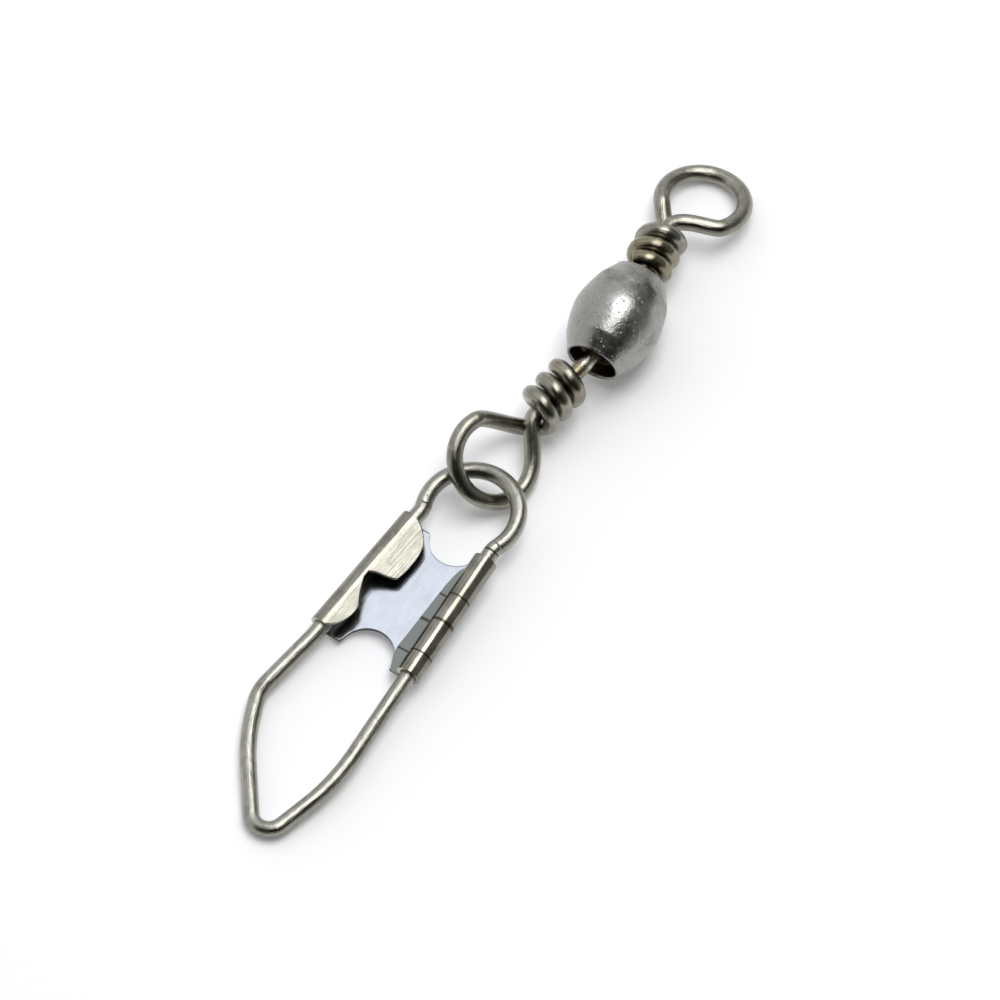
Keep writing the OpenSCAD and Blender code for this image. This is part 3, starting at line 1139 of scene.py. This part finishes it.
            def at_tab(y: float, share: float = share) -> Vector:
                """Gives a point of the upper or the lower tab at a height."""
                u = share * (self.upper_reach if y > (self.notch_top + self.notch_bottom) / 2 else self.lower_reach)
                return self.left(u * math.cos(drop) + r * math.sin(drop), y, r * math.cos(drop) - u * math.sin(drop))

            made.append((at_tab, edges, -share * widest, self.tab_painted_shading))
        width = 0.0
        for a in range(70, 271, 10):
            angle, tone = math.radians(a), self.roll_painted_shading if a < 250 else 0.0
            made.append((self.along(self.left, r * math.cos(angle), r * math.sin(angle)), full, width, tone))
            width += r * math.radians(10)
        for share in self.plate_shares():
            x = -self.legs.x(0) + 2 * self.legs.x(0) * share
            edges = (self.hollow_low(x), self.notch_bottom, self.notch_top, self.hollow_high(x))
            made.append((self.across(share), edges, width + 2 * self.legs.half * share, 0.0))
        width += 2 * self.legs.half
        end = 360 + self.flap_from
        for i in range(31):
            a, tone = math.radians((end - 270) * i / 30), self.roll_painted_shading if i > 3 else 0.0
            made.append((self.along(self.right, r * math.sin(a), -r * math.cos(a)), full, width + r * a, tone))
        width += r * math.radians(end - 270)
        lie = -(self.wire_r + self.gap) + self.sheet / 2 + 0.012
        for x, z in self.flap_turn:
            made.append((self.along(self.right, x, z), full, width - x - 0.77, self.turn_painted_shading))
        for i in range(1, 13):
            share = 0.48 + 0.52 * math.sin(math.pi / 2 * i / 12)
            low, high = self.extent(self.flap_shape, share)
            foot, top = self.flap_foot - self.bottom, self.top - self.flap_shoulder
            marks = [(y + self.bottom) / (self.top + self.bottom) for y in full]
            edges = tuple(foot + (low + (high - low) * mark) * (top - foot) for mark in marks)
            out = share * self.flap_w
            made.append((self.along(self.right, -out, lie), edges, width + out, self.flap_painted_shading))
        return made

    def plate_shares(self) -> list[float]:
        """Spaces the plate's columns, closer where the hollows' rims turn.

        Returns:
            Shares of the plate's width, without its two ends.
        """
        span = 2 * self.legs.x(0)
        marks = {0.0, 1.0}
        for (x, y, r), rim in ((self.top_hollow, self.top), (self.bottom_hollow, -self.bottom)):
            reach = math.sqrt(r * r - (r - abs(rim - y)) ** 2)
            marks |= {(x + s * reach + span / 2) / span for s in (-1, 1)}
            marks |= {(x + s * reach * 0.97 + span / 2) / span for s in (-1, 1)}
        marks |= {i / 36 for i in range(37)}
        kept: list[float] = []
        for m in sorted(marks):
            if not kept or m - kept[-1] > 0.004:
                kept.append(m)
        return [m for m in kept if 0.005 < m < 0.995]

    def hollow_high(self, x: float) -> float:
        """Gives the plate's top edge at a distance from the middle."""
        at, y, r = self.top_hollow
        return min(self.top, y + r - math.sqrt(r * r - (x - at) ** 2)) if abs(x - at) < r else self.top

    def hollow_low(self, x: float) -> float:
        """Gives the plate's bottom edge at a distance from the middle."""
        at, y, r = self.bottom_hollow
        return max(-self.bottom, y - r + math.sqrt(r * r - (x - at) ** 2)) if abs(x - at) < r else -self.bottom

    def build(self) -> bpy.types.Object:
        """Builds the folded sheet from its columns, with its thickness and rounded edges.

        Returns:
            The object.
        """
        skin = Skin()
        bands = self.bands
        index: list[list[list[int]]] = []
        for c, (at, edges, width, tone) in enumerate(self.columns()):
            column: list[list[int]] = []
            for b, count in enumerate(bands):
                band = []
                high = edges[b + 1] - edges[b]
                near = min(self.edge_row / high, 0.4 / count) if high > 0.01 else 0.1
                for k in range(count + 1):
                    share = {0: 0.0, 1: near, count - 1: 1 - near, count: 1.0}.get(k, k / count)
                    y = edges[b] + high * share
                    if b and not k and c >= self.tab_columns:
                        band.append(column[-1][-1])
                        continue
                    wave = 0.02 * noise.noise(Vector((width * 0.6, y * 0.6, 3.0)))
                    p = at(y)
                    # Plate edge rows get the rim mark: a painted-shade dark line along the plate's outer and hollow
                    # edges.
                    rim = 1.0 if tone < 0.5 and ((b == 0 and k == 0) or (b == 2 and k == count)) else 0.0
                    skin.points.append(self.frame.place(p + Vector((0, 0, wave if tone < 0.05 else 0))))
                    skin.grain.append(Vector((width, rim, y)))
                    skin.tone.append(tone)
                    band.append(len(skin.points) - 1)
                column.append(band)
            index.append(column)
        for c in range(len(index) - 1):
            for b in range(3):
                if c < self.tab_columns and b == 1:
                    continue
                one, two = index[c][b], index[c + 1][b]
                skin.faces += [(one[k], two[k], two[k + 1], one[k + 1]) for k in range(len(one) - 1)]
        piece = skin.build("clasp_sheet")
        weld = piece.modifiers.new("weld", "WELD")
        weld.merge_threshold = 0.004 * MM
        thick = piece.modifiers.new("sheet", "SOLIDIFY")
        thick.thickness, thick.offset, thick.material_offset_rim = self.sheet * MM, 0, 1
        thick.use_even_offset = True
        round_off = piece.modifiers.new("edge", "BEVEL")
        round_off.width, round_off.segments = self.edge_round * MM, 2
        round_off.limit_method, round_off.angle_limit = "ANGLE", math.radians(50)
        return piece


@dataclass(frozen=True)
class Patch:
    """A part of the room round a direction, from one cosine of the angle to another, with its colour."""

    azimuth: float
    elevation: float
    low: float
    high: float
    colour: Colour


@dataclass
class Studio:
    """The floor, lights and camera."""

    scale: float = 14.2
    elevation: float = 60.0
    turn: float = -58.5
    target: tuple[float, float, float] = (0.53, -1.42, -0.05)
    lens: float = 1200.0
    floor_half: float = 1.2
    floor_colour: Colour = (0.93, 0.93, 0.93)
    floor_glow: float = 0.14
    room_colour: Colour = (0.45, 0.45, 0.45)
    patches: tuple[Patch, ...] = (
        Patch(-50, 35, -0.2, 0.9, (0.85, 0.86, 0.88)),
        Patch(95, 10, 0.35, 0.85, (0.22, 0.22, 0.22)),
        Patch(185, 33, 0.46, 0.72, (0.03, 0.029, 0.027)),
        Patch(-16, 60, 0.90, 0.96, (1.12, 1.16, 1.24)),
    )

    def towards(self, azimuth: float, elevation: float) -> Vector:
        """Gives a direction, with azimuth 0 behind the object as the camera sees it and 90 to its right.

        Args:
            azimuth: Degrees clockwise from straight behind the object.
            elevation: Degrees above the floor.

        Returns:
            The unit vector.
        """
        a, e = math.radians(90 - azimuth + self.turn), math.radians(elevation)
        return Vector((math.cos(a) * math.cos(e), math.sin(a) * math.cos(e), math.sin(e)))

    def camera(self) -> None:
        """Stands the camera at the photograph's angle."""
        data = bpy.data.cameras.new("camera")
        data.sensor_width, data.lens = 36.0, self.lens
        away = 1000 / self.scale * MM * self.lens / 36.0
        look = -self.towards(180, self.elevation)
        made = bpy.data.objects.new("camera", data)
        made.location = Vector(self.target) * MM - look * away
        made.rotation_mode = "QUATERNION"
        made.rotation_quaternion = look.to_track_quat("-Z", "Y")
        bpy.context.scene.collection.objects.link(made)
        bpy.context.scene.camera = made

    def floor(self) -> None:
        """Lays the plain white floor."""
        half = self.floor_half
        mesh = bpy.data.meshes.new("floor")
        mesh.from_pydata([(-half, -half, 0), (half, -half, 0), (half, half, 0), (-half, half, 0)], [], [(0, 1, 2, 3)])
        made = bpy.data.objects.new("floor", mesh)
        bpy.context.scene.collection.objects.link(made)
        paint = bpy.data.materials.new("white_floor")
        paint.use_nodes = True
        shader = paint.node_tree.nodes["Principled BSDF"]
        shader.inputs["Base Color"].default_value = (*self.floor_colour, 1)
        shader.inputs["Roughness"].default_value = 0.75
        shader.inputs["Specular IOR Level"].default_value = 0.2
        shader.inputs["Emission Color"].default_value = (1, 1, 1, 1)
        shader.inputs["Emission Strength"].default_value = self.floor_glow
        mesh.materials.append(paint)

    def softbox(
        self, azimuth: float, elevation: float, along: float, away: float, size: tuple[float, float], power: float
    ) -> None:
        """Hangs a soft rectangular light that faces the object.

        Args:
            azimuth: Degrees clockwise from straight behind the object.
            elevation: Degrees above the floor.
            along: Azimuth of its length.
            away: Distance in metres.
            size: Width and length in metres.
            power: Power in watts.
        """
        data = bpy.data.lights.new("softbox", "AREA")
        data.shape, data.size, data.size_y, data.energy = "RECTANGLE", *size, power
        made = bpy.data.objects.new("softbox", data)
        way, ahead = self.towards(azimuth, elevation), self.towards(along, 0)
        length = (ahead - ahead.dot(way) * way).normalized()
        made.location = way * away
        made.rotation_mode = "QUATERNION"
        made.rotation_quaternion = Matrix((length.cross(way), length, way)).transposed().to_quaternion()
        bpy.context.scene.collection.objects.link(made)

    def room(self) -> None:
        """Fills the room with soft light, dimmer near the horizon than overhead."""
        world = bpy.data.worlds.new("room")
        world.use_nodes = True
        tree = world.node_tree
        back = tree.nodes["Background"]
        where = tree.nodes.new("ShaderNodeTexCoord").outputs["Generated"]
        colour: Socket | Colour = self.room_colour
        for patch in self.patches:
            dot = tree.nodes.new("ShaderNodeVectorMath")
            dot.operation = "DOT_PRODUCT"
            dot.inputs[1].default_value = self.towards(patch.azimuth, patch.elevation)
            tree.links.new(where, dot.inputs[0])
            mask = stepped(tree, dot.outputs["Value"], patch.low, patch.high)
            colour = mixed(tree, mask, colour, patch.colour)
        tree.links.new(colour, back.inputs["Color"])
        back.inputs["Strength"].default_value = 1.0
        bpy.context.scene.world = world

    def build(self) -> None:
        """Sets up the camera, floor, lights and room."""
        self.camera()
        self.floor()
        self.room()
        self.softbox(azimuth=51, elevation=75.7, along=27, away=0.50, size=(0.24, 0.44), power=1.45)
        view = bpy.context.scene.view_settings
        view.view_transform = "Standard"


def dress(piece: bpy.types.Object, finishes: Sequence[bpy.types.Material], node: str, body: str) -> None:
    """Gives a piece its finishes and lets it stand for its solid.

    Args:
        piece: The piece.
        finishes: Its materials, in slot order.
        node: The solid it replaces.
        body: The body it moves with.
    """
    for finish in finishes:
        piece.data.materials.append(finish)
    settle(piece)
    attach(piece, body)
    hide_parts(node)
    LOG.info("%s stands for %s on body %s: %d faces", piece.name, node, body, len(piece.data.polygons))


def main() -> None:
    """Builds the studio and every piece."""
    logging.basicConfig(level=logging.INFO, format="%(message)s")
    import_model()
    Studio().build()
    effects = Effects()
    wire, snap, shell, sheet, cut = (f.build(effects) for f in (WIRE, SNAP, BARREL, SHEET, CUT_EDGE))

    barrel = Barrel()
    dress(barrel.build(), [shell], "barrel", "barrel")
    reach = Vector((barrel.pivot, 0, 0))
    line_eye = WrappedEye(
        name="line_eye",
        heading=7.63,
        rise=-6.58,
        roll=-1.58,
        neck=6.417,
        inside_d=4.684,
        left=1.093,
        out=3.863,
        bend=10.78,
        ring=(49.2, 294.4),
        lead=(1.543, 0.706),
        pull=(0.833, 2.594),
        dip=-0.024,
        cross=0.567,
        pitch=1.33,
        coil=(68.4, 930.0),
        hand=-1,
        brass=0.8,
        root=barrel.place(reach),
    )
    dress(line_eye.build(), [wire], "line_eye", "upper_eye")
    snap_eye = WrappedEye(
        name="snap_eye",
        heading=170.0,
        rise=-3.9,
        roll=-36.9,
        neck=7.037,
        inside_d=4.9,
        left=0.0,
        out=4.648,
        bend=-2.85,
        ring=(50.05, 287.8),
        lead=(0.869, 1.744),
        pull=(0.98, 3.572),
        dip=0.128,
        cross=-0.248,
        pitch=1.38,
        coil=(89.2, 1108.0),
        hand=1,
        brass=0.35,
        root=barrel.place(-reach),
    )
    dress(snap_eye.build(), [wire], "snap_eye", "lower_eye")
    frame = SnapFrame(Vector((-10.516, -0.429, 1.701)))
    legs = Legs()
    dress(SnapWire(frame, legs).build(), [snap], "snap_wire", "snap")
    dress(FoldedClasp(frame, legs).build(), [sheet, cut], "clasp", "snap")

    bpy.context.view_layer.update()


if __name__ == "__main__":
    main()
